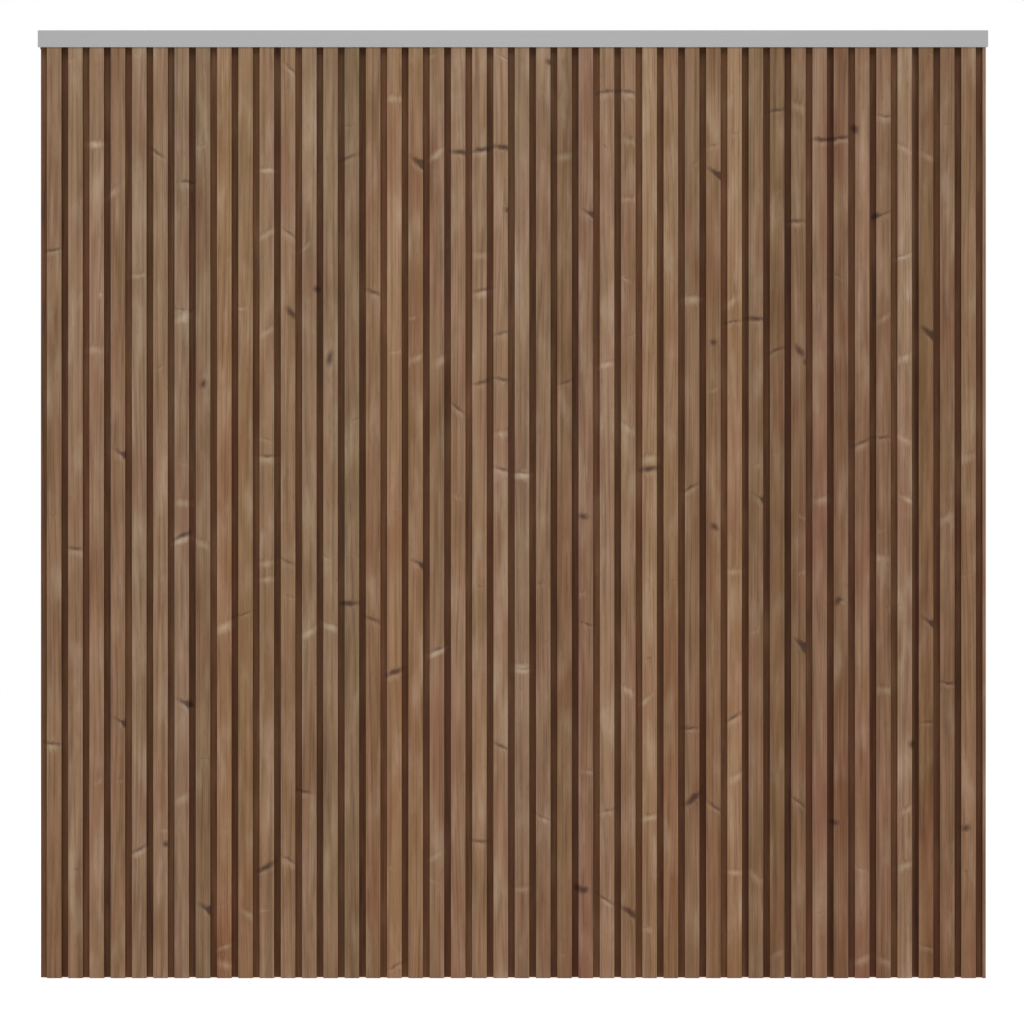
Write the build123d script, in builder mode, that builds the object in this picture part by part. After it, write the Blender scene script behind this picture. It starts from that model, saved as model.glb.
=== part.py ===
"""Fence panel: upright two-rib pine boards, three back rails and an aluminium cap.

Millimetres, +Z up, front towards -Y. The origin is the centre of the panel's
footprint at ground level.
"""

import os
from math import atan, cos, degrees, pi

from build123d import *

os.makedirs("parts", exist_ok=True)

# Boards, and the strip of one more board that closes the right edge
board_count = 22
board_length = 1794.0
board_thickness = 26.0
closing_rib = 6.0

# Board profile: two ribs, a milled groove between them, a shadow gap at the joint
rib_width = 27.5
groove_width = 12.8
groove_depth = 14.5
gap_depth = 11.0
arris_radius = 1.5
tongue_thickness = 7.0
tongue_reach = 8.0
tongue_chamfer = 1.0
cheek_reach = 6.0
slot_clearance = 0.2
slot_end_gap = 0.8
back_seam = 0.6

# Rails behind the boards
rail_height = 70.0
rail_depth = 28.0
rail_setback = 6.0
rail_inset = 220.0
rail_arris = 3.0

# Wood screws, driven from behind through the rails
screw_diameter = 4.5
screw_length = 45.0
screw_head_diameter = 8.8
screw_head_height = 2.2
screw_tip = 5.0
screw_point = 0.8
screw_stagger = 15.0
screw_sides = 6
hole_clearance = 0.1

# Cap over the board tops
cap_overhang = 4.0
cap_leg = 32.0
cap_wall = 2.0
cap_clearance = 0.5
cap_edge_radius = 0.6

# Pan-head screws through the rear leg of the cap
cap_screw_count = 4
cap_screw_diameter = 3.5
cap_screw_length = 16.0
cap_screw_tip = 3.0
cap_screw_head_diameter = 7.0
cap_screw_head_height = 2.4
cap_screw_crown = 1.0
cap_screw_point = 0.6
cap_screw_inset = 12.0

# Positions that follow from the sizes above
module = 2 * (rib_width + groove_width)
board_face = 2 * rib_width + groove_width
panel_width = groove_width + board_count * module + closing_rib
left_edge = -panel_width / 2
front_y = (cap_wall + cap_clearance - board_thickness - rail_depth) / 2
back_y = front_y + board_thickness
rail_back_y = back_y + rail_depth
cap_front_y = front_y - cap_clearance - cap_wall
cap_back_y = back_y + cap_clearance + cap_wall
cap_bottom_z = board_length + cap_wall - cap_leg
cap_screw_z = cap_bottom_z + cap_screw_inset
rail_levels = {
    "top_rail": board_length - rail_inset,
    "middle_rail": board_length / 2,
    "bottom_rail": rail_inset,
}


def rib_x(index):
    """Left wall of the first rib of a board."""
    return left_edge + groove_width + index * module


def screw_x(index):
    """Middle of the first rib, where the board is solid through its thickness."""
    return rib_x(index) + rib_width / 2


def screw_z(index, level):
    """Screws step above and below the middle of the rail."""
    return level + screw_stagger * (1 if index % 2 else -1)


def drive_plane(x, y, z):
    """Plane on a rear face, looking the way a screw is driven from behind."""
    return Plane(origin=(x, y, z), x_dir=(1, 0, 0), z_dir=(0, -1, 0))


def cap_screw_boards():
    """Boards that take a cap screw, spread evenly between the two outer ones."""
    span = board_count - 1
    return [round(span * (k + 0.5) / cap_screw_count) for k in range(cap_screw_count)]


def board_outline(x0):
    """Cross-section of one board; x0 is the left wall of its first rib."""
    gap_y = front_y + gap_depth
    tongue_back_y = gap_y + tongue_thickness
    tip_x = x0 - groove_width - tongue_reach
    shoulder_x = x0 - groove_width + cheek_reach + back_seam
    groove_x = x0 + rib_width
    wall_x = x0 + board_face
    slot_x = wall_x - tongue_reach - slot_end_gap
    slot_front_y = gap_y - slot_clearance
    slot_back_y = tongue_back_y + slot_clearance
    return [
        (x0, front_y),
        (groove_x, front_y),
        (groove_x, front_y + groove_depth),
        (groove_x + groove_width, front_y + groove_depth),
        (groove_x + groove_width, front_y),
        (wall_x, front_y),
        (wall_x, slot_front_y),
        (slot_x, slot_front_y),
        (slot_x, slot_back_y),
        (wall_x + cheek_reach, slot_back_y),
        (wall_x + cheek_reach, back_y),
        (shoulder_x, back_y),
        (shoulder_x, tongue_back_y),
        (tip_x + tongue_chamfer, tongue_back_y),
        (tip_x, tongue_back_y - tongue_chamfer),
        (tip_x, gap_y + tongue_chamfer),
        (tip_x + tongue_chamfer, gap_y),
        (x0, gap_y),
    ]


def screw_body(stations, growth=0.0):
    """Screw driven along +Z, from stations of (depth, diameter) along its axis.

    growth widens it all round, to cut the screw's own hole.
    """
    with BuildPart() as screw:
        for (near, wide), (far, narrow) in zip(stations, stations[1:]):
            if far > near:
                slope = (wide - narrow) / 2 * cos(pi / screw_sides) / (far - near)
                with BuildSketch(Plane.XY.offset(near)):
                    RegularPolygon(wide / 2 + growth, screw_sides)
                extrude(amount=far - near, taper=degrees(atan(slope)))
    return screw.part


def wood_screw(growth=0.0):
    """Countersunk wood screw, its head flush with the face it is driven from."""
    stations = [
        (0, screw_head_diameter),
        (screw_head_height, screw_diameter),
        (screw_length - screw_tip, screw_diameter),
        (screw_length, screw_point),
    ]
    return screw_body(stations, growth)


def cap_screw(growth=0.0):
    """Pan-head screw; its head stands on the face it is driven from."""
    stations = [
        (-cap_screw_head_height, cap_screw_head_diameter - 2 * cap_screw_crown),
        (cap_screw_crown - cap_screw_head_height, cap_screw_head_diameter),
        (0, cap_screw_head_diameter),
        (0, cap_screw_diameter),
        (cap_screw_length - cap_screw_tip, cap_screw_diameter),
        (cap_screw_length, cap_screw_point),
    ]
    return screw_body(stations, growth)


def rail_screw_planes(level):
    """Where the screws of one rail are driven."""
    return [
        drive_plane(screw_x(i), rail_back_y, screw_z(i, level))
        for i in range(board_count)
    ]


def cap_screw_planes():
    """Where the cap's screws are driven."""
    return [drive_plane(screw_x(i), cap_back_y, cap_screw_z) for i in cap_screw_boards()]


wood_screw_hole = wood_screw(hole_clearance)
cap_screw_hole = cap_screw(hole_clearance)


def make_board(index):
    """One board, ripped to the panel's edges where it passes them, with its screw holes."""
    with BuildPart() as board:
        with BuildSketch():
            with BuildLine():
                Polyline(*board_outline(rib_x(index)), close=True)
            make_face()
            arrises = [v for v in vertices() if abs(v.Y - front_y) < 1e-6]
            fillet(arrises, arris_radius)
            with Locations((0, front_y + board_thickness / 2)):
                Rectangle(panel_width, 2 * board_thickness, mode=Mode.INTERSECT)
        extrude(amount=board_length)
        if index < board_count:
            with Locations(*[rail_screw_planes(z)[index] for z in rail_levels.values()]):
                add(wood_screw_hole, mode=Mode.SUBTRACT)
        if index in cap_screw_boards():
            with Locations(drive_plane(screw_x(index), cap_back_y, cap_screw_z)):
                add(cap_screw_hole, mode=Mode.SUBTRACT)
    return board.part


for index in range(board_count):
    name = f"board_{index + 1:02d}"
    part = make_board(index)
    part.label = name
    export_step(part, f"parts/{name}.step")

closing_strip = make_board(board_count)
closing_strip.label = "closing_strip"
export_step(closing_strip, "parts/closing_strip.step")

# Rails and their screws
rail_length = panel_width - 2 * rail_setback
rail_y = back_y + rail_depth / 2
for name, level in rail_levels.items():
    planes = rail_screw_planes(level)
    with BuildPart() as rail:
        with BuildSketch(Plane.YZ.offset(-rail_length / 2)):
            with Locations((rail_y, level)):
                RectangleRounded(rail_depth, rail_height, rail_arris)
        extrude(amount=rail_length)
        with Locations(*planes):
            add(wood_screw_hole, mode=Mode.SUBTRACT)
    rail.part.label = name
    export_step(rail.part, f"parts/{name}.step")

    with BuildPart() as rail_screws:
        with Locations(*planes):
            add(wood_screw())
    rail_screws.part.label = f"{name}_screws"
    export_step(rail_screws.part, f"parts/{name}_screws.step")

# Cap: an inverted channel that sits on the board ends
cap_length = panel_width + 2 * cap_overhang
cap_top_z = board_length + cap_wall
with BuildPart() as top_cap:
    with BuildSketch(Plane.YZ.offset(-cap_length / 2)):
        with BuildLine():
            Polyline(
                (cap_front_y, cap_bottom_z),
                (cap_front_y, cap_top_z),
                (cap_back_y, cap_top_z),
                (cap_back_y, cap_bottom_z),
                (cap_back_y - cap_wall, cap_bottom_z),
                (cap_back_y - cap_wall, board_length),
                (cap_front_y + cap_wall, board_length),
                (cap_front_y + cap_wall, cap_bottom_z),
                close=True,
            )
        make_face()
        corners = [v for v in vertices() if abs(v.Y - cap_top_z) < 1e-6]
        fillet(corners, cap_edge_radius)
    extrude(amount=cap_length)
    with Locations(*cap_screw_planes()):
        add(cap_screw_hole, mode=Mode.SUBTRACT)
top_cap.part.label = "top_cap"
export_step(top_cap.part, "parts/top_cap.step")

with BuildPart() as cap_screws:
    with Locations(*cap_screw_planes()):
        add(cap_screw())
cap_screws.part.label = "cap_screws"
export_step(cap_screws.part, "parts/cap_screws.step")
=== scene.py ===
"""Looks of the fence panel: heat-treated pine boards and rails, an aluminium cap and steel screws.

Metres, +Z up, front towards -Y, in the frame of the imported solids.
"""

import logging
import math
import random
from dataclasses import dataclass, fields
from enum import Enum
from functools import partial
from typing import Any

import bmesh
import bpy
from bpy.types import Material, Mesh, Node, NodeTree, Object
from mathutils import Matrix, Vector


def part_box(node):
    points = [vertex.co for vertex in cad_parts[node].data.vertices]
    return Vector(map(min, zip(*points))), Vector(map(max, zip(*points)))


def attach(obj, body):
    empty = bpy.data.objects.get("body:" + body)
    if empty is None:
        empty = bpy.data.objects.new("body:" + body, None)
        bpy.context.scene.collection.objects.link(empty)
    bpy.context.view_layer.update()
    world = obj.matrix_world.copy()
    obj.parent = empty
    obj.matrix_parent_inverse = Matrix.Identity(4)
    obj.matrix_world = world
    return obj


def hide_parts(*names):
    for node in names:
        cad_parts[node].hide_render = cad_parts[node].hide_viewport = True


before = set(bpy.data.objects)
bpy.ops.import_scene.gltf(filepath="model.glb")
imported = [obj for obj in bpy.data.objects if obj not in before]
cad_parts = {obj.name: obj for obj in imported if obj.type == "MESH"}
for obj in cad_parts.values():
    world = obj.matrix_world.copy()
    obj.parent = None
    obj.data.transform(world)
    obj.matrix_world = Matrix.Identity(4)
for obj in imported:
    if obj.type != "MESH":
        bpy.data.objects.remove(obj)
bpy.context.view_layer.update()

log = logging.getLogger("fence_panel")

MM = 0.001
BODY = "root"
BOARD_SEED = 1000
RAIL_SEED = 2000


def linear(hex_colour: str) -> tuple[float, float, float, float]:
    """Turns an sRGB hex colour into linear values.

    Args:
        hex_colour: colour such as "#886A52".

    Returns:
        Linear red, green and blue, and an alpha of one.
    """
    channels = [int(hex_colour[i:i + 2], 16) / 255 for i in (1, 3, 5)]
    toned = [c / 12.92 if c <= 0.04045 else ((c + 0.055) / 1.055) ** 2.4 for c in channels]
    return (*toned, 1.0)


def add_node(tree: NodeTree, kind: str, links: dict | None = None, **settings: Any) -> Node:
    """Adds one node with its settings and links.

    Args:
        tree: node tree that gets the node.
        kind: node type, such as "ShaderNodeMath".
        links: input name or index to a value, a socket, or a node whose first output is meant.
        settings: attributes of the node.

    Returns:
        The new node.
    """
    made = tree.nodes.new(kind)
    for name, value in settings.items():
        setattr(made, name, value)
    for key, source in (links or {}).items():
        named = isinstance(key, str)
        socket = next(s for s in made.inputs if s.enabled and s.name == key) if named else made.inputs[key]
        if isinstance(source, Node):
            source = next(s for s in source.outputs if s.enabled)
        if isinstance(source, bpy.types.NodeSocket):
            tree.links.new(source, socket)
        else:
            socket.default_value = source
    return made


def new_material(name: str) -> tuple[Material, NodeTree, Node]:
    """Starts a node material.

    Args:
        name: name of the material.

    Returns:
        The material, its node tree and its surface shader.
    """
    material = bpy.data.materials.new(name)
    material.use_nodes = True
    tree = material.node_tree
    return material, tree, tree.nodes["Principled BSDF"]


def link_surface(tree: NodeTree, surface: Node, sources: dict[str, Node]) -> None:
    """Joins finished patterns to the surface shader.

    Args:
        tree: node tree of the material.
        surface: its surface shader.
        sources: input of the shader to the node whose first output it takes.
    """
    for name, source in sources.items():
        tree.links.new(next(s for s in source.outputs if s.enabled), surface.inputs[name])


def dress(obj: Object, material: Material) -> None:
    """Gives every material slot of an object one material.

    Args:
        obj: object to dress.
        material: its finish.
    """
    if not obj.material_slots:
        obj.data.materials.append(material)
    for slot in obj.material_slots:
        slot.material = material


class GrainAxis(Enum):
    """Which way the grain of a piece of wood runs; the value turns it to +Z."""

    UPRIGHT = (0.0, 0.0, 0.0)
    ALONG_X = (0.0, -math.pi / 2, 0.0)


class MarkTone(Enum):
    """What a mark does to the wood."""

    DARK = "dark knot wood"
    PALE = "pale, swirled wood"


class KnotKind(Enum):
    """What a knot leaves on a planed face."""

    SPIKE = "dark stroke across a rib with a pale patch beside it"
    PIN = "small dark oval"
    PALE = "pale patch where the grain swirls"


class RibCast(Enum):
    """How a rib stands apart; the value shifts its brightness, hue and saturation."""

    PALE = (0.13, 0.0, 0.0)
    DARK = (-0.09, 0.0, 0.0)
    GREY = (0.0, 0.003, -0.055)
    WARM = (0.0, 0.0, 0.06)
    ROSY = (0.0, -0.005, 0.0)


@dataclass(frozen=True)
class Knot:
    """One knot on the front of the boards.

    Attributes:
        rib: rib that carries it, counted from one at the left.
        height: millimetres above the ground.
        slant: degrees, positive where it rises to the right.
        drift: millimetres to the right of the rib's middle.
        weight: how strongly it shows.
    """

    rib: int
    height: float
    slant: float
    drift: float
    weight: float = 1.0


@dataclass(frozen=True)
class Mark:
    """One soft oval in the wood, in metres on the piece.

    Attributes:
        tone: what it does to the wood.
        x: middle across the grain.
        z: middle along the grain.
        slant: radians, positive where it rises to the right.
        reach: half its length.
        girth: half its thickness.
        strength: how much it shows.
    """

    tone: MarkTone
    x: float
    z: float
    slant: float
    reach: float
    girth: float
    strength: float


# Knots listed by kind: rib, height, slant, drift and, where it isn't one, weight of each
KNOTS: dict[KnotKind, list[Knot]] = {
    KnotKind.SPIKE: [Knot(*row) for row in (
        (1, 445, -8, -4), (1, 1380, 10, -3), (2, 815, -8, 1), (4, 485, -30, 9), (4, 995, -30, 8),
        (5, 245, 25, 0), (6, 1565, -35, -6), (7, 522, -25, 7), (7, 840, 25, 4), (7, 1268, 0, -1, 0.6),
        (7, 1510, 0, 10), (8, 132, -30, 8, 1.2), (10, 691, 20, -4, 0.8), (11, 210, 30, -2, 1.5),
        (11, 990, 0, 1), (12, 225, -30, 3, 0.9), (12, 790, -30, 0, 0.8), (12, 1412, -40, 3, 0.8),
        (12, 1723, -45, 6, 0.9), (13, 355, -10, -11), (15, 710, 5, -7, 1.4), (15, 1555, 20, -8),
        (16, 680, -25, 0), (16, 1300, -20, 2), (17, 24, 25, 3, 0.8), (17, 580, 25, 0, 1.4),
        (18, 785, -30, 7), (18, 1545, -35, 8, 1.5), (19, 625, 25, 5, 0.9), (20, 1080, -40, -1),
        (20, 1565, -8, 4, 1.4), (21, 260, -5, 1), (21, 1130, 14, 3), (21, 1305, 12, 6),
        (21, 1570, 10, 4, 1.4), (22, 440, -25, 2), (22, 965, -15, 4), (22, 1135, -10, 4),
        (22, 1223, 15, 2, 0.8), (22, 1575, -12, 4, 1.4), (23, 587, 0, 3, 0.7), (23, 958, -3, 3, 0.8),
        (24, 306, -25, 0, 0.7), (25, 1130, 20, 3, 0.8), (26, 671, -20, 4, 0.8), (26, 1450, -30, 8),
        (27, 150, -30, -2), (27, 318, 10, 0, 0.7), (27, 1680, 6, -1), (28, 125, -35, 4, 1.5),
        (28, 1680, -8, 1), (29, 965, 8, 0, 1.4), (31, 340, 40, 1, 1.6), (31, 475, 0, -3),
        (31, 930, 30, -3), (32, 325, -35, 4), (32, 1525, -35, 7, 1.4), (33, 495, 30, -3),
        (33, 1244, 10, -5, 0.9), (34, 910, -30, 8, 0.7), (34, 1250, -5, 0, 1.3), (35, 1190, 20, -1),
        (35, 1645, 10, -1), (36, 335, -40, 0), (36, 630, -45, 8, 1.5), (36, 1435, 0, -5),
        (37, 1590, 0, 5, 1.3), (38, 1592, 5, 0, 1.2), (39, 1015, 25, -1), (40, 1025, 0, 0, 0.9),
        (40, 1450, 25, 4, 0.8), (40, 1635, -10, 4, 0.8), (42, 60, -20, 5, 0.7), (42, 485, 0, 4, 0.8),
        (42, 675, -30, 8), (42, 1222, -40, 7, 1.5), (43, 560, -5, 2),
    )],
    KnotKind.PIN: [Knot(*row) for row in (
        (6, 255, 80, 10, 0.6), (8, 1126, 60, 1, 0.9), (12, 1260, -50, 7, 1.6), (13, 1306, 0, 14, 0.8),
        (14, 1175, 80, -2, 1.6), (22, 1455, -20, 15), (24, 1735, -30, 13), (26, 168, -20, 0, 0.7),
        (26, 170, -25, -14), (26, 875, 0, -5), (32, 855, -45, 2), (32, 1206, 60, 0, 0.7),
        (36, 1168, -60, 14, 0.7), (36, 1190, -55, 2, 1.4), (38, 295, 0, -13), (38, 715, 60, -6),
        (39, 1610, -50, -14), (40, 1445, 40, -15), (41, 443, 90, 14, 0.9), (44, 285, 0, -5),
    )],
    KnotKind.PALE: [Knot(*row) for row in (
        (3, 1190, -5, -6), (3, 1580, 0, -4, 1.5), (4, 1487, 40, -11), (5, 1330, 5, -5), (7, 340, 30, 2),
        (7, 828, 20, -3, 1.2), (7, 900, 0, 4), (7, 1250, 20, 3, 1.4), (8, 822, -25, 0), (9, 25, -20, 2),
        (9, 58, 20, 2), (9, 665, 30, 0, 1.4), (10, 120, -40, 6), (11, 755, 5, 0), (11, 785, 10, -2),
        (11, 1225, 30, 2), (11, 1410, 30, 0), (11, 1530, 0, 0, 1.3), (13, 655, 35, 0, 1.4),
        (14, 665, -25, -1, 1.4), (17, 1666, 0, 0, 0.8), (18, 1175, 30, 4), (19, 230, 35, -3),
        (19, 620, 35, 1, 1.4), (19, 1170, 35, 8), (19, 1560, 40, -2, 1.4), (21, 1369, 0, 2, 0.8),
        (22, 1031, 10, 3, 0.8), (23, 168, 0, 0, 0.8), (23, 590, 0, -2), (23, 955, 5, 2),
        (25, 1556, 10, 0), (27, 1162, 15, 0), (28, 543, -30, 0), (28, 1040, -35, -1),
        (28, 1476, 0, 0, 0.8), (28, 1585, -20, 2, 0.8), (29, 303, 15, 0, 1.2), (29, 525, 40, -9),
        (29, 982, 10, 0, 1.1), (31, 1285, 0, 0, 1.4), (33, 200, -5, 1), (33, 380, 35, 3),
        (33, 770, 0, -1, 0.8), (33, 1280, 40, -7), (34, 190, -50, 0), (35, 45, 30, 0, 0.8),
        (36, 1650, -25, 0), (37, 905, 10, 3), (39, 34, 25, 0, 1.2), (40, 30, -25, 5), (40, 545, 0, 2),
        (40, 795, -10, -4), (40, 1250, 35, 1), (41, 212, 20, 2), (41, 318, 30, 4, 0.8),
        (41, 905, -30, 7), (41, 1020, -25, 0, 0.8), (41, 1175, 30, 1), (41, 1367, 20, 0, 0.9),
        (41, 1572, -30, -4, 0.8), (42, 1555, -30, 4), (43, 870, 35, -2), (44, 985, 20, -3, 0.8),
    )],
}

# Ribs that stand apart from their neighbours
CAST_RIBS = {
    RibCast.PALE: {3, 9, 17, 21, 22, 27, 29, 33, 41},
    RibCast.DARK: {8, 15, 25, 26, 35, 36, 38, 42},
    RibCast.GREY: {5, 7, 8, 13, 14, 15, 23, 24},
    RibCast.WARM: {9, 10, 17, 18, 29, 30, 33},
    RibCast.ROSY: {26, 37, 38, 39, 40, 42, 43, 44},
}


@dataclass(frozen=True)
class Spots:
    """Noise whose spots are drawn out along the grain.

    Attributes:
        across_mm: size of a spot across the grain.
        along_mm: size of a spot along the grain.
        octaves: how many finer layers lie on it.
    """

    across_mm: float
    along_mm: float
    octaves: float


@dataclass(frozen=True)
class RibTone:
    """Colour of one rib against its finish.

    Attributes:
        value: brightness.
        hue: place on the colour wheel, where a half is no change.
        saturation: depth of colour.
    """

    value: float = 1.0
    hue: float = 0.5
    saturation: float = 1.0


@dataclass(frozen=True)
class WoodPiece:
    """What sets one piece of wood apart from the next.

    Attributes:
        name: node that is dressed.
        axis: which way its grain runs.
        seed: picks its own run of the patterns.
        middle: its middle, turned so that its grain runs along Z.
        marks: what knots leave on it.
        tones: colour left and right of the split.
        split: where the tone changes, across the grain.
        groove: where the painted groove shade starts and ends along Y, on a piece with grooves.
    """

    name: str
    axis: GrainAxis
    seed: int
    middle: Vector
    marks: list[Mark]
    tones: tuple[RibTone, RibTone] = (RibTone(), RibTone())
    split: float = 0.0
    groove: tuple[float, float] | None = None


@dataclass(frozen=True)
class WoodBase:
    """What every pattern on one piece of wood starts from.

    Attributes:
        tree: node tree of the material.
        point: place on the piece, with its grain along Z.
        place: that place, split into X, Y and Z.
        facing: which way the surface faces, turned likewise.
        noise: every noise of the finish, by name.
    """

    tree: NodeTree
    point: Node
    place: Node
    facing: Node
    noise: dict[str, Node]


# Heat-treated pine, planed and out in the light for a season. The heat browns it right through, and
# the grooves get a darker, redder brown that is painted shade. Growth rings show as fine lines along
# the grain and as arcs on sawn ends, and rounded edges are rubbed paler.
@dataclass(frozen=True)
class HeatTreatedPine:
    """Planed heat-treated pine."""

    early_wood: str = "#8F6E51"
    late_wood: str = "#765840"
    pale_wood: str = "#AD957B"
    rosy_wood: str = "#805438"
    knot_wood: str = "#4A3024"
    # Painted shade, multiplied into the grooves
    painted_groove_shade: str = "#C3A890"
    end_tint: str = "#A58C7C"
    ring_mm: float = 3.4
    ring_profile: tuple[tuple[float, float], ...] = ((0.0, 0.1), (0.42, 0.16), (0.78, 1.0), (0.97, 0.1))
    crowded_years: float = 3.0
    frayed_years: float = 0.5
    knot_bend_mm: float = 6.0
    wander_mm: float = 28.0
    pith_aside_mm: float = 55.0
    pith_behind_mm: tuple[float, float] = (45.0, 110.0)
    pull_mm: tuple[float, float, float] = (5.0, 0.0, 7.0)
    # Depth over which the painted groove shade comes in
    groove_shade_fade_mm: float = 7.0
    fibre_height_mm: float = 0.4
    fibre_bump: float = 0.35
    fibre_contrast: float = 0.45
    ring_contrast: float = 0.75
    end_facing: tuple[float, float] = (0.7, 0.9)
    end_arcs: float = 0.5
    rub: float = 0.3
    value_drift: float = 0.32
    hue_drift: float = 0.009
    band_depth: float = 0.2
    # How much deeper in colour darker wood is
    richness: float = 0.35
    # Hue gained and depth of colour lost from the middle of an upright piece to its top
    rise_shift: tuple[float, float] = (0.003, 0.035)
    roughness: tuple[float, float] = (0.70, 0.56)
    ior: float = 1.5
    specular: float = 0.25
    ragged: Spots = Spots(16.0, 16.0, 1.0)
    wander: Spots = Spots(120.0, 650.0, 0.0)
    crowding: Spots = Spots(11.0, 900.0, 0.0)
    cloud: Spots = Spots(30.0, 110.0, 3.0)
    blush: Spots = Spots(60.0, 230.0, 1.0)
    shade: Spots = Spots(48.0, 170.0, 2.0)
    band: Spots = Spots(7.0, 110.0, 0.0)
    # Fibres are hundredths of a millimetre thick and resin canals tenths: both are drawn coarser to show.
    fibre: Spots = Spots(1.8, 140.0, 1.0)
    resin: Spots = Spots(0.9, 18.0, 0.0)

    def start(self, tree: NodeTree, piece: WoodPiece) -> WoodBase:
        """Adds what the patterns share: turned coordinates and the noises, on the piece's own run.

        Args:
            tree: node tree of the material.
            piece: the piece.

        Returns:
            What the patterns start from.
        """
        draw = random.Random(piece.seed)
        add = partial(add_node, tree)
        source = add("ShaderNodeTexCoord")
        point, facing = (
            add("ShaderNodeMapping", {"Vector": source.outputs[name], "Rotation": piece.axis.value})
            for name in ("Object", "Normal")
        )
        noise = {}
        for size_field in fields(self):
            size = getattr(self, size_field.name)
            if isinstance(size, Spots):
                across = 1 / (size.across_mm * MM)
                scale = (across, across, 1 / (size.along_mm * MM))
                shift = [draw.uniform(0, 9) for _ in scale]
                run = add("ShaderNodeVectorMath", {0: point, 1: scale, 2: shift}, operation="MULTIPLY_ADD")
                spots = {"Vector": run, "Scale": 1.0, "Detail": size.octaves}
                noise[size_field.name] = add("ShaderNodeTexNoise", spots)
        return WoodBase(tree, point, add("ShaderNodeSeparateXYZ", {0: point}), facing, noise)

    def knots(self, base: WoodBase, piece: WoodPiece, tone: MarkTone) -> Node | float:
        """Adds up the marks of one tone: soft ragged ovals that run through the piece's depth.

        Args:
            base: what the patterns start from.
            piece: the piece.
            tone: which of its marks.

        Returns:
            The node that gives their sum, or zero if there are none.
        """
        add = partial(add_node, base.tree)
        strength = [amount * MM for amount in self.pull_mm]
        centred = {0: base.noise["ragged"].outputs["Color"], 1: (0.5, 0.5, 0.5)}
        pull = add("ShaderNodeVectorMath", centred, operation="SUBTRACT")
        shifted = {0: pull, 1: strength, 2: base.point}
        pulled = add("ShaderNodeVectorMath", shifted, operation="MULTIPLY_ADD")
        total = 0.0
        for mark in (m for m in piece.marks if m.tone is tone):
            oval = {
                "Vector": pulled,
                "Location": (mark.x, piece.middle.y, mark.z),
                "Rotation": (0.0, -mark.slant, 0.0),
                "Scale": (mark.reach, 1.0, mark.girth),
            }
            inside = add("ShaderNodeMapping", oval, vector_type="TEXTURE")
            fade = add("ShaderNodeTexGradient", {"Vector": inside}, gradient_type="SPHERICAL")
            summed = {0: fade.outputs["Fac"], 1: mark.strength, 2: total}
            total = add("ShaderNodeMath", summed, operation="MULTIPLY_ADD")
        return total

    def rings(self, base: WoodBase, piece: WoodPiece, swirl: Node) -> Node:
        """Adds growth rings: shells around the tree's middle, which wanders along the piece.

        Args:
            base: what the patterns start from.
            piece: the piece.
            swirl: how much knots bend the rings.

        Returns:
            The node that gives late wood as white.
        """
        draw = random.Random(piece.seed)
        pith_x = piece.middle.x + draw.uniform(-1, 1) * self.pith_aside_mm * MM
        pith_y = piece.middle.y + draw.uniform(*self.pith_behind_mm) * MM
        add = partial(add_node, base.tree)
        across = add("ShaderNodeMath", {0: base.place.outputs["X"], 1: pith_x}, operation="SUBTRACT")
        stray = {0: base.noise["wander"], 1: self.wander_mm * MM, 2: across}
        strayed = add("ShaderNodeMath", stray, operation="MULTIPLY_ADD")
        bend = {0: swirl, 1: self.knot_bend_mm * MM, 2: strayed}
        bent = add("ShaderNodeMath", bend, operation="MULTIPLY_ADD")
        inward = add("ShaderNodeMath", {0: base.place.outputs["Y"], 1: pith_y}, operation="SUBTRACT")
        spoke = add("ShaderNodeCombineXYZ", {"X": bent, "Y": inward})
        radius = add("ShaderNodeVectorMath", {0: spoke}, operation="LENGTH")
        years = {0: radius.outputs["Value"], 1: self.ring_mm * MM}
        turns = add("ShaderNodeMath", years, operation="DIVIDE")
        crowded = {0: base.noise["crowding"], 1: self.crowded_years, 2: turns}
        uneven = add("ShaderNodeMath", crowded, operation="MULTIPLY_ADD")
        fray = {0: base.noise["fibre"], 1: self.frayed_years, 2: uneven}
        frayed = add("ShaderNodeMath", fray, operation="MULTIPLY_ADD")
        year = add("ShaderNodeMath", {0: frayed}, operation="FRACT")
        ring = add("ShaderNodeValToRGB", {0: year})
        stops = ring.color_ramp.elements
        for position, _ in self.ring_profile[1:-1]:
            stops.new(position)
        for stop, (position, grey) in zip(stops, self.ring_profile):
            stop.position = position
            stop.color = (grey, grey, grey, 1.0)
        return ring

    def colour(self, base: WoodBase, streak: Node, dark: Node, pale: Node) -> Node:
        """Lays the colours of the wood over each other.

        Args:
            base: what the patterns start from.
            streak: late wood and fibres.
            dark: sum of the dark marks.
            pale: sum of the pale marks.

        Returns:
            The node that gives the colour.
        """
        add = partial(add_node, base.tree)
        facing = add("ShaderNodeVectorMath", {0: base.facing}, operation="ABSOLUTE")
        sides = add("ShaderNodeSeparateXYZ", {0: facing})
        flat = add("ShaderNodeMath", {0: sides.outputs["X"], 1: sides.outputs["Y"]}, operation="MAXIMUM")
        flat_or_end = add("ShaderNodeMath", {0: flat, 1: sides.outputs["Z"]}, operation="MAXIMUM")
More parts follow.
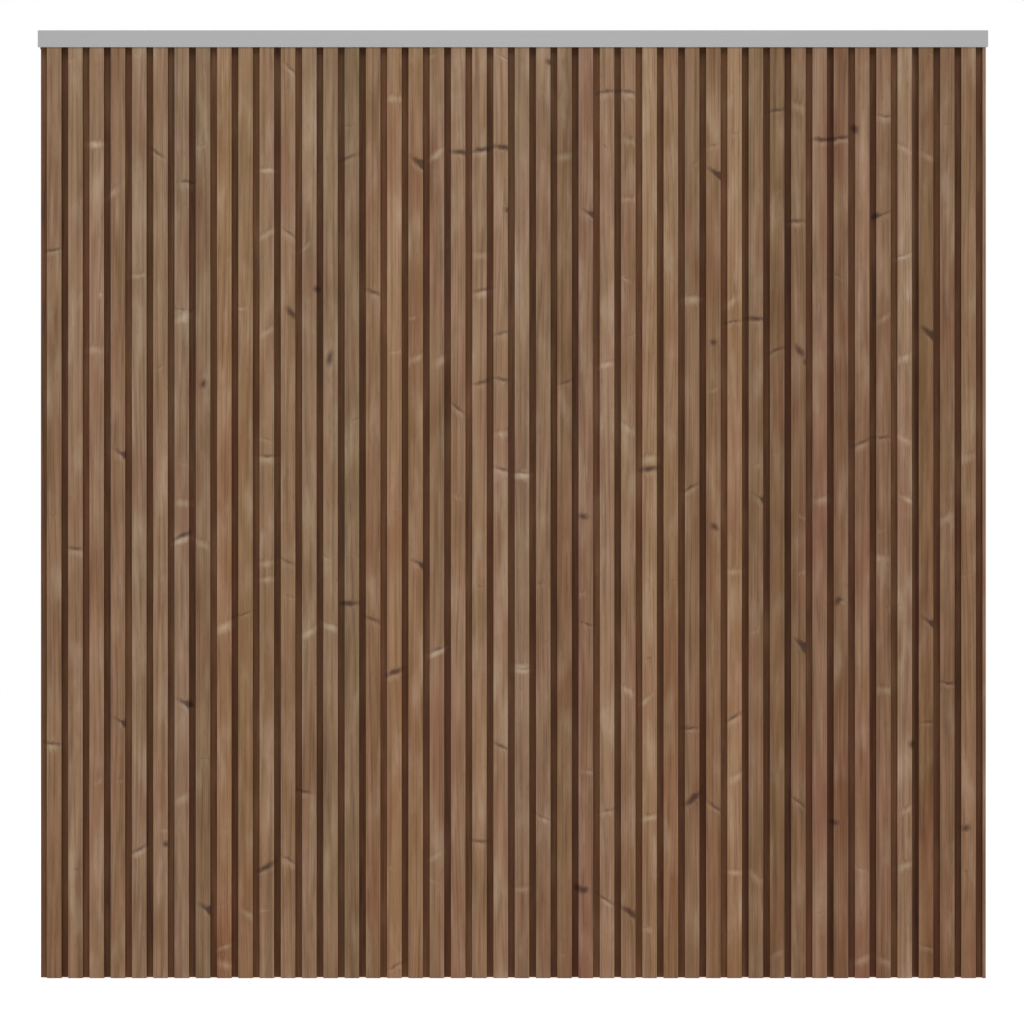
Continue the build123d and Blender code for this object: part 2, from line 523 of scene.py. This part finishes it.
        # Each layer: where it lies, from which value to which it comes in, how much of it, its colour
        layers = (
            (streak, 0.0, 1.0, 1.0, self.late_wood),
            (base.noise["cloud"], 0.48, 0.78, 0.45, self.pale_wood),
            (base.noise["blush"], 0.48, 0.75, 0.34, self.rosy_wood),
            (base.noise["resin"], 0.66, 0.78, 0.25, self.knot_wood),
            (flat_or_end, 0.99, 0.85, self.rub, self.pale_wood),
            (pale, 0.0, 1.2, 0.9, self.pale_wood),
            (dark, 0.0, 1.1, 0.9, self.knot_wood),
        )
        wood = linear(self.early_wood)
        for mask, low, high, most, colour in layers:
            steps = {"Value": mask, 1: low, 2: high, 3: 0.0, 4: most}
            share = add("ShaderNodeMapRange", steps, interpolation_type="SMOOTHSTEP")
            wood = add("ShaderNodeMix", {0: share, "A": wood, "B": linear(colour)}, data_type="RGBA")
        return wood

    def shaded(self, base: WoodBase, piece: WoodPiece, wood: Node) -> Node:
        """Sets the colour of each rib, lets it drift along the piece, and paints shade into the grooves.

        An upright piece is yellower and less deep in colour towards its top, and redder and deeper towards
        its foot.

        Args:
            base: what the patterns start from.
            piece: the piece.
            wood: colour of the wood.

        Returns:
            The node that gives the shaded colour.
        """
        add = partial(add_node, base.tree)
        smooth = {"interpolation_type": "SMOOTHSTEP"}
        side = add("ShaderNodeMath", {0: base.place.outputs["X"], 1: piece.split}, operation="GREATER_THAN")
        if piece.groove:
            # Painted shade: grooves darken with depth, from behind the rib faces to the back of the tongue
            start, end = piece.groove
            depth = base.place.outputs["Y"]
            fade = self.groove_shade_fade_mm * MM
            last = {"Value": depth, 1: end - MM, 2: end, 3: 1.0, 4: 0.0}
            before = add("ShaderNodeMapRange", last, **smooth)
            deep = add("ShaderNodeMapRange", {"Value": depth, 1: start, 2: start + fade}, **smooth)
            groove = add("ShaderNodeMath", {0: deep, 1: before}, operation="MULTIPLY")
            side = add("ShaderNodeMix", {0: before, "A": 0.5, "B": side})
        left, right = piece.tones
        tone = add("ShaderNodeMix", {0: side, "A": left.value, "B": right.value})
        shade = {"Value": base.noise["shade"], 3: -self.value_drift, 4: self.value_drift}
        drifted = add("ShaderNodeMath", {0: tone, 1: add("ShaderNodeMapRange", shade)}, operation="ADD")
        band = {"Value": base.noise["band"], 3: -self.band_depth, 4: self.band_depth}
        value = add("ShaderNodeMath", {0: drifted, 1: add("ShaderNodeMapRange", band)}, operation="ADD")
        cast = add("ShaderNodeMix", {0: side, "A": left.hue, "B": right.hue})
        blush = {"Value": base.noise["blush"], 3: self.hue_drift, 4: -self.hue_drift}
        hue = add("ShaderNodeMath", {0: cast, 1: add("ShaderNodeMapRange", blush)}, operation="ADD")
        full = add("ShaderNodeMix", {0: side, "A": left.saturation, "B": right.saturation})
        if piece.axis is GrainAxis.UPRIGHT:
            foot_to_top = {"Value": base.place.outputs["Z"], 1: 0.0, 2: 2 * piece.middle.z, 3: -1.0, 4: 1.0}
            height = add("ShaderNodeMapRange", foot_to_top)
            rise_hue, rise_depth = self.rise_shift
            hue = add("ShaderNodeMath", {0: height, 1: rise_hue, 2: hue}, operation="MULTIPLY_ADD")
            full = add("ShaderNodeMath", {0: height, 1: -rise_depth, 2: full}, operation="MULTIPLY_ADD")
        darker = {0: value, 1: -self.richness, 2: 1 + self.richness}
        richer = add("ShaderNodeMath", darker, operation="MULTIPLY_ADD")
        saturation = add("ShaderNodeMath", {0: full, 1: richer}, operation="MULTIPLY")
        shaded = {"Color": wood, "Hue": hue, "Saturation": saturation, "Value": value}
        wood = add("ShaderNodeHueSaturation", shaded)
        # Multiplies in the painted groove shade
        if piece.groove:
            tint = {0: groove, "A": wood, "B": linear(self.painted_groove_shade)}
            wood = add("ShaderNodeMix", tint, data_type="RGBA", blend_type="MULTIPLY")
        return wood

    def end_grain(self, base: WoodBase, ring: Node, wood: Node) -> Node:
        """Darkens sawn ends, most along the rings.

        Args:
            base: what the patterns start from.
            ring: growth rings.
            wood: colour of the wood.

        Returns:
            The node that gives the colour.
        """
        add = partial(add_node, base.tree)
        facing = add("ShaderNodeSeparateXYZ", {0: base.facing})
        along = add("ShaderNodeMath", {0: facing.outputs["Z"]}, operation="ABSOLUTE")
        slanted, square = self.end_facing
        facing_end = {"Value": along, 1: slanted, 2: square}
        end = add("ShaderNodeMapRange", facing_end, interpolation_type="SMOOTHSTEP")
        years = {0: ring, 1: self.end_arcs, 2: 1 - self.end_arcs}
        arcs = add("ShaderNodeMath", years, operation="MULTIPLY_ADD")
        share = add("ShaderNodeMath", {0: end, 1: arcs}, operation="MULTIPLY")
        tint = {0: share, "A": wood, "B": linear(self.end_tint)}
        return add("ShaderNodeMix", tint, data_type="RGBA", blend_type="MULTIPLY")

    def material(self, piece: WoodPiece) -> Material:
        """Makes the wood of one piece.

        Args:
            piece: the piece.

        Returns:
            The material.
        """
        material, tree, surface = new_material(f"heat_treated_pine_{piece.name}")
        add = partial(add_node, tree)
        base = self.start(tree, piece)
        dark = self.knots(base, piece, MarkTone.DARK)
        pale = self.knots(base, piece, MarkTone.PALE)
        swirl = add("ShaderNodeMath", {0: dark, 1: pale}, operation="ADD")
        ring = self.rings(base, piece, swirl)
        fibre = base.noise["fibre"]
        spread = {"Value": fibre, 3: -self.fibre_contrast, 4: self.fibre_contrast}
        lines = add("ShaderNodeMapRange", spread)
        late = {0: ring, 1: self.ring_contrast, 2: lines}
        streak = add("ShaderNodeMath", late, operation="MULTIPLY_ADD")
        wood = self.colour(base, streak, dark, pale)
        wood = self.shaded(base, piece, wood)
        wood = self.end_grain(base, ring, wood)
        open_wood, dense_wood = self.roughness
        rough = add("ShaderNodeMapRange", {"Value": streak, 3: open_wood, 4: dense_wood})
        distance = self.fibre_height_mm * MM
        height = {"Strength": self.fibre_bump, "Distance": distance, "Height": fibre}
        bump = add("ShaderNodeBump", height)
        link_surface(tree, surface, {"Base Color": wood, "Roughness": rough, "Normal": bump})
        surface.inputs["IOR"].default_value = self.ior
        surface.inputs["Specular IOR Level"].default_value = self.specular
        return material


@dataclass(frozen=True)
class MarkedMetal:
    """Bare metal with fine marks in its surface.

    Attributes:
        name: name of the material.
        colour: colour of the metal.
        mark_colour: colour in the marks.
        along_mm: length of a mark, along X.
        across_mm: width of a mark.
        octaves: how many finer layers lie on the marks.
        height_mm: depth of the marks.
        bump: how strongly that depth shows.
        roughness: least and most.
    """

    name: str
    colour: str
    mark_colour: str
    along_mm: float
    across_mm: float
    octaves: float
    height_mm: float
    bump: float
    roughness: tuple[float, float]

    def material(self) -> Material:
        """Makes the finish.

        Returns:
            The material.
        """
        material, tree, surface = new_material(self.name)
        add = partial(add_node, tree)
        source = add("ShaderNodeTexCoord")
        across = 1 / (self.across_mm * MM)
        drawn_out = (1 / (self.along_mm * MM), across, across)
        place = add("ShaderNodeMapping", {"Vector": source.outputs["Object"], "Scale": drawn_out})
        mark = add("ShaderNodeTexNoise", {"Vector": place, "Scale": 1.0, "Detail": self.octaves})
        tints = {0: mark, "A": linear(self.colour), "B": linear(self.mark_colour)}
        colour = add("ShaderNodeMix", tints, data_type="RGBA")
        low, high = self.roughness
        rough = add("ShaderNodeMapRange", {"Value": mark, 3: low, 4: high})
        height = {"Strength": self.bump, "Distance": self.height_mm * MM, "Height": mark}
        bump = add("ShaderNodeBump", height)
        link_surface(tree, surface, {"Base Color": colour, "Roughness": rough, "Normal": bump})
        surface.inputs["Metallic"].default_value = 1.0
        return material


# Extruded aluminium, satin anodised in natural grey: a soft, even sheen with faint lines along the
# profile from the die. Real die lines are tenths of a millimetre apart, and are drawn coarser to show.
SATIN_ALUMINIUM = MarkedMetal(
    name="satin_anodised_aluminium",
    colour="#C2C2C2",
    mark_colour="#B8B8B8",
    along_mm=420.0,
    across_mm=1.6,
    octaves=3.0,
    height_mm=0.1,
    bump=0.06,
    roughness=(0.48, 0.58),
)

# Stainless steel, rolled and tumbled: a dull gleam with fine scuffs. Real scuffs are tenths of a
# millimetre wide, and are drawn coarser to show.
STAINLESS_STEEL = MarkedMetal(
    name="tumbled_stainless_steel",
    colour="#C4C1BB",
    mark_colour="#A19D96",
    along_mm=0.9,
    across_mm=0.9,
    octaves=2.0,
    height_mm=0.02,
    bump=0.3,
    roughness=(0.26, 0.46),
)


@dataclass
class BoardWall:
    """The upright boards and the ripped strip that closes the right edge.

    Attributes:
        count: whole boards.
        rib: width of a rib.
        groove: width of a groove or gap.
        arris: depth behind the ribs at which the painted groove shade starts.
        cheek: how far a board's back reaches past its last rib.
        tongue_back: depth of the back of the tongue.
        spike: half length and half thickness of a dark stroke.
        core: half width and half height of a stroke's dark end at the edge of a rib.
        pin: half length and half thickness of a small dark knot.
        patch: half length and half thickness of a pale patch.
        patch_spread: least and most that a patch's thickness is multiplied by.
        spike_strength: how strongly a stroke shows.
        pin_strength: how strongly a small dark knot or the dark end of a stroke shows.
        patch_strength: how strongly a pale patch shows.
        patch_glow: least and most for the patch beside a stroke.
        patch_stroke: how strongly the weak stroke above a pale patch shows.
        stroke_above: how far above a pale patch that stroke lies, as a share of half its thickness.
        patch_below: how far below a stroke its patch lies, likewise.
        edge_drift: distance from a rib's middle, in millimetres, past which a stroke has a dark end.
        steep: slant in degrees past which it has one.
        faint_count: weak knots on each board.
        faint_drift: how far a weak knot may be from its rib's middle, in millimetres.
        faint_span: lowest and highest that it may be, as shares of the board.
        faint_slant: its steepest slant in degrees.
        faint_reach: least and most half length of its stroke, in millimetres.
        faint_girth: least and most half thickness of its stroke, in millimetres.
        faint_strength: least and most for how strongly its stroke shows.
        faint_glow: least and most for how strongly its patch shows.
        faint_patch: half length of its patch as a share of the stroke's, and half thickness.
        last_batch: rib after which the boards are a little darker.
        batch_shade: shift of their brightness.
        tone_spread: how far a rib's brightness, hue and saturation may stray.
        finish: the wood.
    """

    count: int = 22
    rib: float = 27.5 * MM
    groove: float = 12.8 * MM
    arris: float = 0.8 * MM
    cheek: float = 6.0 * MM
    tongue_back: float = 18.0 * MM
    spike: tuple[float, float] = (30 * MM, 6 * MM)
    core: tuple[float, float] = (9 * MM, 14 * MM)
    pin: tuple[float, float] = (15 * MM, 10 * MM)
    patch: tuple[float, float] = (30 * MM, 10.5 * MM)
    patch_spread: tuple[float, float] = (0.7, 1.4)
    spike_strength: float = 0.85
    pin_strength: float = 1.1
    patch_strength: float = 0.75
    patch_glow: tuple[float, float] = (0.35, 0.8)
    patch_stroke: float = 0.3
    stroke_above: float = 0.7
    patch_below: float = 0.55
    edge_drift: float = 6.0
    steep: float = 22.0
    faint_count: int = 3
    faint_drift: float = 11.0
    faint_span: tuple[float, float] = (0.02, 0.98)
    faint_slant: float = 40.0
    faint_reach: tuple[float, float] = (8.0, 20.0)
    faint_girth: tuple[float, float] = (2.5, 5.0)
    faint_strength: tuple[float, float] = (0.25, 0.55)
    faint_glow: tuple[float, float] = (0.2, 0.6)
    faint_patch: tuple[float, float] = (1.4, 8 * MM)
    last_batch: int = 33
    batch_shade: float = -0.065
    tone_spread: tuple[float, float, float] = (0.08, 0.003, 0.02)
    finish: HeatTreatedPine = HeatTreatedPine()

    def names(self) -> list[str]:
        """Names of the boards and the strip, from left to right."""
        return [f"board_{i + 1:02d}" for i in range(self.count)] + ["closing_strip"]

    def rib_left(self, index: int) -> float:
        """Left wall of the first rib of a board, or of the strip after the last one."""
        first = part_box("board_01")[1].x - self.cheek - 2 * self.rib - self.groove
        return first + index * 2 * (self.rib + self.groove)

    def rib_middle(self, rib: int) -> float:
        """Middle of a rib, counted from one at the left."""
        return self.rib_left(0) + (rib - 1) * (self.rib + self.groove) + self.rib / 2

    def knot_marks(self, kind: KnotKind, knot: Knot, draw: random.Random) -> list[Mark]:
        """Works out the marks that one knot leaves.

        Args:
            kind: what the knot leaves on a planed face.
            knot: the knot.
            draw: the board's own random numbers.

        Returns:
            The marks.
        """
        x = self.rib_middle(knot.rib) + knot.drift * MM
        z = knot.height * MM
        slant = math.radians(knot.slant)
        spike_reach, spike_girth = self.spike
        patch_reach, patch_girth = self.patch
        girth = patch_girth * draw.uniform(*self.patch_spread)
        if kind is KnotKind.PIN:
            pin_reach, pin_girth = self.pin
            return [Mark(MarkTone.DARK, x, z, slant, pin_reach * knot.weight, pin_girth, self.pin_strength)]
        if kind is KnotKind.PALE:
            above = z + self.stroke_above * girth
            glow = self.patch_strength * knot.weight
            return [
                Mark(MarkTone.DARK, x, above, slant, spike_reach, spike_girth, self.patch_stroke),
                Mark(MarkTone.PALE, x, z, slant, patch_reach, girth, glow),
            ]
        glow = draw.uniform(*self.patch_glow)
        strength = self.spike_strength * knot.weight
        marks = [
            Mark(MarkTone.DARK, x, z, slant, spike_reach, spike_girth * knot.weight, strength),
            Mark(MarkTone.PALE, x, z - self.patch_below * girth, slant, patch_reach, girth, glow),
        ]
        falls_to_edge = knot.slant * knot.drift < 0 and abs(knot.slant) > self.steep
        if falls_to_edge and abs(knot.drift) > self.edge_drift:
            run = math.copysign(self.rib / 2, knot.drift) - knot.drift * MM
            fall = run * math.tan(slant)
            marks.append(Mark(MarkTone.DARK, x + run, z + fall, 0.0, *self.core, self.pin_strength))
        return marks

    def faint_marks(self, index: int, draw: random.Random) -> list[Mark]:
        """Scatters a few weak knots over a board.

        Args:
            index: board, counted from zero.
            draw: the board's own random numbers.

        Returns:
            The marks.
        """
        marks = []
        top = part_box("board_01")[1].z
        longer, patch_girth = self.faint_patch
        for _ in range(self.faint_count):
            middle = self.rib_middle(2 * index + draw.choice((1, 2)))
            x = middle + draw.uniform(-self.faint_drift, self.faint_drift) * MM
            z = draw.uniform(*self.faint_span) * top
            slant = math.radians(draw.uniform(-self.faint_slant, self.faint_slant))
            reach = draw.uniform(*self.faint_reach) * MM
            girth = draw.uniform(*self.faint_girth) * MM
            strength = draw.uniform(*self.faint_strength)
            glow = draw.uniform(*self.faint_glow)
            marks.append(Mark(MarkTone.DARK, x, z, slant, reach, girth, strength))
            marks.append(Mark(MarkTone.PALE, x, z - girth, slant, longer * reach, patch_girth, glow))
        return marks

    def tone(self, rib: int, draw: random.Random) -> RibTone:
        """Works out the colour of a rib against the finish.

        Args:
            rib: rib, counted from one at the left.
            draw: the board's own random numbers.

        Returns:
            Its colour.
        """
        batch = (self.batch_shade, 0.0, 0.0) if rib > self.last_batch else (0.0, 0.0, 0.0)
        casts = [cast.value for cast, ribs in CAST_RIBS.items() if rib in ribs]
        stray = [draw.uniform(-most, most) for most in self.tone_spread]
        value, hue, saturation = (sum(shifts) for shifts in zip(batch, stray, *casts))
        return RibTone(1.0 + value, 0.5 + hue, 1.0 + saturation)

    def dress(self) -> None:
        """Gives each board its own wood."""
        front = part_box("board_01")[0].y
        for index, name in enumerate(self.names()):
            draw = random.Random(BOARD_SEED + index)
            ribs = (2 * index + 1, 2 * index + 2)
            marks = self.faint_marks(index, draw)
            for kind, knots in KNOTS.items():
                for knot in knots:
                    if knot.rib in ribs:
                        marks += self.knot_marks(kind, knot, draw)
            low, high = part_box(name)
            piece = WoodPiece(
                name=name,
                axis=GrainAxis.UPRIGHT,
                seed=index,
                middle=(low + high) / 2,
                marks=marks,
                tones=(self.tone(ribs[0], draw), self.tone(ribs[1], draw)),
                split=self.rib_left(index) + self.rib + self.groove / 2,
                # Painted groove shade, from just behind the rib faces to the back of the tongue
                groove=(front + self.arris, front + self.tongue_back),
            )
            dress(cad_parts[name], self.finish.material(piece))
            log.info("%s dressed with %d marks", name, len(marks))


@dataclass
class BackRails:
    """The three rails behind the boards.

    Attributes:
        names: the rails, from the top.
        knot_count: knots on each rail.
        knot_spread: how far a knot may be from the rail's middle line.
        knot_slant: its steepest slant in radians.
        knot_reach: half its width.
        knot_girth: least and most half height, in millimetres.
        swirl: half width and half height of the pale wood around it.
        swirl_strength: how strongly that shows.
        first_seed: seed of the top rail's patterns.
        finish: the wood.
    """

    names: tuple[str, ...] = ("top_rail", "middle_rail", "bottom_rail")
    knot_count: int = 9
    knot_spread: float = 30 * MM
    knot_slant: float = 0.6
    knot_reach: float = 8 * MM
    knot_girth: tuple[float, float] = (4.0, 9.0)
    swirl: tuple[float, float] = (16 * MM, 26 * MM)
    swirl_strength: float = 0.6
    first_seed: int = 100
    finish: HeatTreatedPine = HeatTreatedPine(early_wood="#8A6A50", late_wood="#6F503A")

    def dress(self) -> None:
        """Gives each rail wood with its grain along the rail and a few round knots."""
        turn = Matrix.Rotation(GrainAxis.ALONG_X.value[1], 3, "Y")
        for index, name in enumerate(self.names):
            low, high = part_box(name)
            middle = turn @ ((low + high) / 2)
            draw = random.Random(RAIL_SEED + index)
            marks = []
            for _ in range(self.knot_count):
                x = middle.x + draw.uniform(-1, 1) * self.knot_spread
                z = draw.uniform(low.x, high.x)
                slant = draw.uniform(-self.knot_slant, self.knot_slant)
                girth = draw.uniform(*self.knot_girth) * MM
                marks.append(Mark(MarkTone.DARK, x, z, slant, self.knot_reach, girth, 1.0))
                marks.append(Mark(MarkTone.PALE, x, z, 0.0, *self.swirl, self.swirl_strength))
            piece = WoodPiece(name, GrainAxis.ALONG_X, self.first_seed + index, middle, marks)
            dress(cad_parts[name], self.finish.material(piece))
            log.info("%s dressed with %d marks", name, len(marks))


@dataclass
class TopCap:
    """The aluminium channel over the board tops."""

    name: str = "top_cap"
    finish: MarkedMetal = SATIN_ALUMINIUM

    def dress(self) -> None:
        """Gives the cap its anodised finish."""
        dress(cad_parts[self.name], self.finish.material())
        log.info("%s dressed", self.name)


@dataclass(frozen=True)
class ScrewShape:
    """One screw along its axis, with heights outwards from the face that it is driven into.

    Attributes:
        stations: height and radius of each ring, from the top of the head to the point.
        drive: radius of the star recess.
        drive_depth: depth of the star recess.
        lobes: points of the star.
        lobe: how far a point stands out, as a share of the radius.
        segments: points around each ring.
        sharp_angle: angle between faces above which their edge stays sharp.
    """

    stations: tuple[tuple[float, float], ...]
    drive: float
    drive_depth: float
    lobes: int = 6
    lobe: float = 0.16
    segments: int = 24
    sharp_angle: float = math.radians(32)

    def sink_drive(self, shape: bmesh.types.BMesh, head: bmesh.types.BMFace) -> None:
        """Sinks the star recess into the flat top of the head.

        Args:
            shape: the screw so far.
            head: its flat top.
        """
        rim = self.stations[0][1]
        bmesh.ops.inset_region(shape, faces=[head], thickness=rim - self.drive, use_even_offset=True)
        for vertex in head.verts:
            stretch = 1 + self.lobe * math.cos(self.lobes * math.atan2(vertex.co.y, vertex.co.x))
            bmesh.ops.scale(shape, verts=[vertex], vec=(stretch, stretch, 1.0))
        sunk = bmesh.ops.extrude_face_region(shape, geom=[head])["geom"]
        bottom = [v for v in sunk if isinstance(v, bmesh.types.BMVert)]
        bmesh.ops.translate(shape, verts=bottom, vec=(0, 0, -self.drive_depth))
        bmesh.ops.delete(shape, geom=[head], context="FACES_ONLY")

    def mesh(self, name: str) -> Mesh:
        """Builds the screw with its axis along +Z.

        Args:
            name: name of the mesh.

        Returns:
            The mesh.
        """
        shape = bmesh.new()
        top, rim = self.stations[0]
        bmesh.ops.create_circle(shape, cap_ends=True, segments=self.segments, radius=rim)
        bmesh.ops.translate(shape, verts=shape.verts, vec=(0, 0, top))
        ring = list(shape.edges)
        self.sink_drive(shape, next(iter(shape.faces)))
        for (above, wide), (below, narrow) in zip(self.stations, self.stations[1:]):
            made = bmesh.ops.extrude_edge_only(shape, edges=ring)["geom"]
            verts = [v for v in made if isinstance(v, bmesh.types.BMVert)]
            ring = [e for e in made if isinstance(e, bmesh.types.BMEdge) and len(e.link_faces) == 1]
            bmesh.ops.translate(shape, verts=verts, vec=(0, 0, below - above))
            bmesh.ops.scale(shape, verts=verts, vec=(narrow / wide, narrow / wide, 1.0))
        bmesh.ops.edgeloop_fill(shape, edges=ring)
        bmesh.ops.recalc_face_normals(shape, faces=shape.faces)
        mesh = bpy.data.meshes.new(name)
        shape.to_mesh(mesh)
        shape.free()
        return mesh


@dataclass
class ScrewRow:
    """A row of equal screws that stands for one node of plain screws.

    Attributes:
        node: the node that it stands for.
        shape: one screw.
        places: where each screw's axis meets the face that it is driven into.
    """

    node: str
    shape: ScrewShape
    places: list[Vector]

    def build(self, material: Material) -> None:
        """Builds the row as one piece, each screw turned its own way.

        Args:
            material: finish of the screws.
        """
        one = self.shape.mesh(f"{self.node}_one")
        draw = random.Random(self.node)
        row = bmesh.new()
        outwards = Matrix.Rotation(-math.pi / 2, 4, "X")
        for place in self.places:
            before = len(row.verts)
            row.from_mesh(one)
            row.verts.ensure_lookup_table()
            turned = outwards @ Matrix.Rotation(draw.uniform(0, math.pi / 3), 4, "Z")
            bmesh.ops.transform(row, verts=row.verts[before:], matrix=Matrix.Translation(place) @ turned)
        mesh = bpy.data.meshes.new(f"{self.node}_turned")
        row.to_mesh(mesh)
        row.free()
        bpy.data.meshes.remove(one)
        mesh.shade_smooth()
        mesh.set_sharp_from_angle(angle=self.shape.sharp_angle)
        piece = bpy.data.objects.new(f"{self.node}_turned", mesh)
        bpy.context.scene.collection.objects.link(piece)
        dress(piece, material)
        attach(piece, BODY)
        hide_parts(self.node)
        log.info("%s built with %d screws", piece.name, len(self.places))


@dataclass
class Fasteners:
    """All screws of the panel.

    Attributes:
        wood_screw: countersunk screw of the rails.
        cap_screw: pan-head screw of the cap.
        cap_shares: where the cap screws are, as shares of the boards.
        finish: the steel.
    """

    wood_screw: ScrewShape = ScrewShape(
        stations=(
            (0.0, 4.2 * MM), (-0.3 * MM, 4.4 * MM), (-2.2 * MM, 2.25 * MM), (-40 * MM, 2.25 * MM),
            (-45 * MM, 0.4 * MM),
        ),
        drive=2.1 * MM,
        drive_depth=1.7 * MM,
    )
    cap_screw: ScrewShape = ScrewShape(
        stations=(
            (2.4 * MM, 2.1 * MM), (2.05 * MM, 2.9 * MM), (1.4 * MM, 3.35 * MM), (0.7 * MM, 3.5 * MM),
            (0.0, 3.5 * MM), (0.0, 1.75 * MM), (-13 * MM, 1.75 * MM), (-16 * MM, 0.3 * MM),
        ),
        drive=1.5 * MM,
        drive_depth=1.3 * MM,
    )
    cap_shares: tuple[float, ...] = (0.125, 0.375, 0.625, 0.875)
    finish: MarkedMetal = STAINLESS_STEEL

    def build(self, wall: BoardWall, rails: BackRails) -> None:
        """Builds every row where its plain screws are.

        Args:
            wall: the boards, which set the screws apart.
            rails: the rails, which carry the rows.
        """
        steel = self.finish.material()
        head = self.wood_screw.stations[1][1]
        for rail in rails.names:
            node = f"{rail}_screws"
            low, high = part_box(node)
            # The plain heads are six-sided and end at a flat
            stagger = (high.z - low.z) / 2 - head * math.cos(math.pi / 6)
            level = (low.z + high.z) / 2
            places = [
                Vector((wall.rib_middle(2 * i + 1), high.y, level + stagger * (1 if i % 2 else -1)))
                for i in range(wall.count)
            ]
            ScrewRow(node, self.wood_screw, places).build(steel)
        low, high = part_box("cap_screws")
        face = high.y - self.cap_screw.stations[0][0]
        level = (low.z + high.z) / 2
        boards = [round((wall.count - 1) * share) for share in self.cap_shares]
        places = [Vector((wall.rib_middle(2 * i + 1), face, level)) for i in boards]
        ScrewRow("cap_screws", self.cap_screw, places).build(steel)


@dataclass
class Studio:
    """Floor, light and camera.

    Attributes:
        distance: from the camera to the front of the ribs.
        frame_width: width of the picture where it meets the ribs.
        aim_x: what the middle of the picture shows, across.
        aim_z: what the middle of the picture shows, upwards.
        sky_light: how brightly the white surroundings light the panel.
        front_power: watts of the light in front.
        back_power: watts of the light behind.
        light_size: length and width of each light.
        light_away: how far each light is from the panel.
        light_height: how high each light hangs.
        light_aim: height that the lights point at.
        floor_colour: colour of the floor.
        floor_reach: how far the floor goes each way.
        floor_glow: light of the floor's own, so that it meets the white surroundings unseen.
    """

    distance: float = 6.0
    frame_width: float = 1.9402
    aim_x: float = -1.8 * MM
    aim_z: float = 885.4 * MM
    sky_light: float = 0.41
    front_power: float = 66.0
    back_power: float = 45.0
    light_size: tuple[float, float] = (5.0, 1.6)
    light_away: float = 2.6
    light_height: float = 4.2
    light_aim: float = 1.0
    floor_colour: str = "#F4F4F4"
    floor_reach: float = 14.0
    floor_glow: float = 0.62

    def build_camera(self) -> None:
        """Places the camera square to the panel."""
        data = bpy.data.cameras.new("camera")
        data.sensor_width = 36.0
        data.lens = data.sensor_width * self.distance / self.frame_width
        data.clip_end = 100.0
        camera = bpy.data.objects.new("camera", data)
        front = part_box("board_01")[0].y
        camera.location = (self.aim_x, front - self.distance, self.aim_z)
        camera.rotation_euler = (math.pi / 2, 0.0, 0.0)
        bpy.context.scene.collection.objects.link(camera)
        bpy.context.scene.camera = camera

    def build_floor(self) -> None:
        """Lays a floor of matt white paper, lit until its edge can't be seen."""
        shape = bmesh.new()
        bmesh.ops.create_grid(shape, x_segments=1, y_segments=1, size=self.floor_reach)
        mesh = bpy.data.meshes.new("floor")
        shape.to_mesh(mesh)
        shape.free()
        floor = bpy.data.objects.new("floor", mesh)
        bpy.context.scene.collection.objects.link(floor)
        material, _, surface = new_material("matt_white_paper")
        surface.inputs["Base Color"].default_value = linear(self.floor_colour)
        surface.inputs["Roughness"].default_value = 0.9
        surface.inputs["Specular IOR Level"].default_value = 0.1
        surface.inputs["Emission Color"].default_value = linear("#FFFFFF")
        surface.inputs["Emission Strength"].default_value = self.floor_glow
        dress(floor, material)

    def build_sky(self) -> None:
        """Makes the background white and its light soft and weaker."""
        world = bpy.data.worlds.new("studio")
        world.use_nodes = True
        tree = world.node_tree
        background = tree.nodes["Background"]
        background.inputs["Color"].default_value = linear("#FFFFFF")
        path = add_node(tree, "ShaderNodeLightPath")
        seen = {0: path.outputs["Is Camera Ray"], "A": self.sky_light, "B": 1.0}
        link_surface(tree, background, {"Strength": add_node(tree, "ShaderNodeMix", seen)})
        bpy.context.scene.world = world

    def build_light(self, name: str, place: Vector, target: Vector, power: float) -> None:
        """Hangs one long soft light across the panel.

        Args:
            name: name of the light.
            place: where it hangs.
            target: what it points at.
            power: watts.
        """
        data = bpy.data.lights.new(name, "AREA")
        data.shape = "RECTANGLE"
        data.size, data.size_y = self.light_size
        data.energy = power
        light = bpy.data.objects.new(name, data)
        light.location = place
        light.rotation_euler = (target - place).to_track_quat("-Z", "Y").to_euler()
        bpy.context.scene.collection.objects.link(light)

    def build(self) -> None:
        """Sets up the whole studio."""
        view = bpy.context.scene.view_settings
        view.view_transform = "Standard"
        view.look = "None"
        self.build_camera()
        self.build_floor()
        self.build_sky()
        target = Vector((0.0, 0.0, self.light_aim))
        front = Vector((0.0, -self.light_away, self.light_height))
        back = Vector((0.0, self.light_away, self.light_height))
        self.build_light("front_light", front, target, self.front_power)
        self.build_light("back_light", back, target, self.back_power)
        log.info("studio built")


def main() -> None:
    """Dresses the panel and sets up its studio."""
    logging.basicConfig(level=logging.INFO, format="%(message)s")
    wall = BoardWall()
    rails = BackRails()
    wall.dress()
    rails.dress()
    TopCap().dress()
    Fasteners().build(wall, rails)
    Studio().build()


if __name__ == "__main__":
    main()
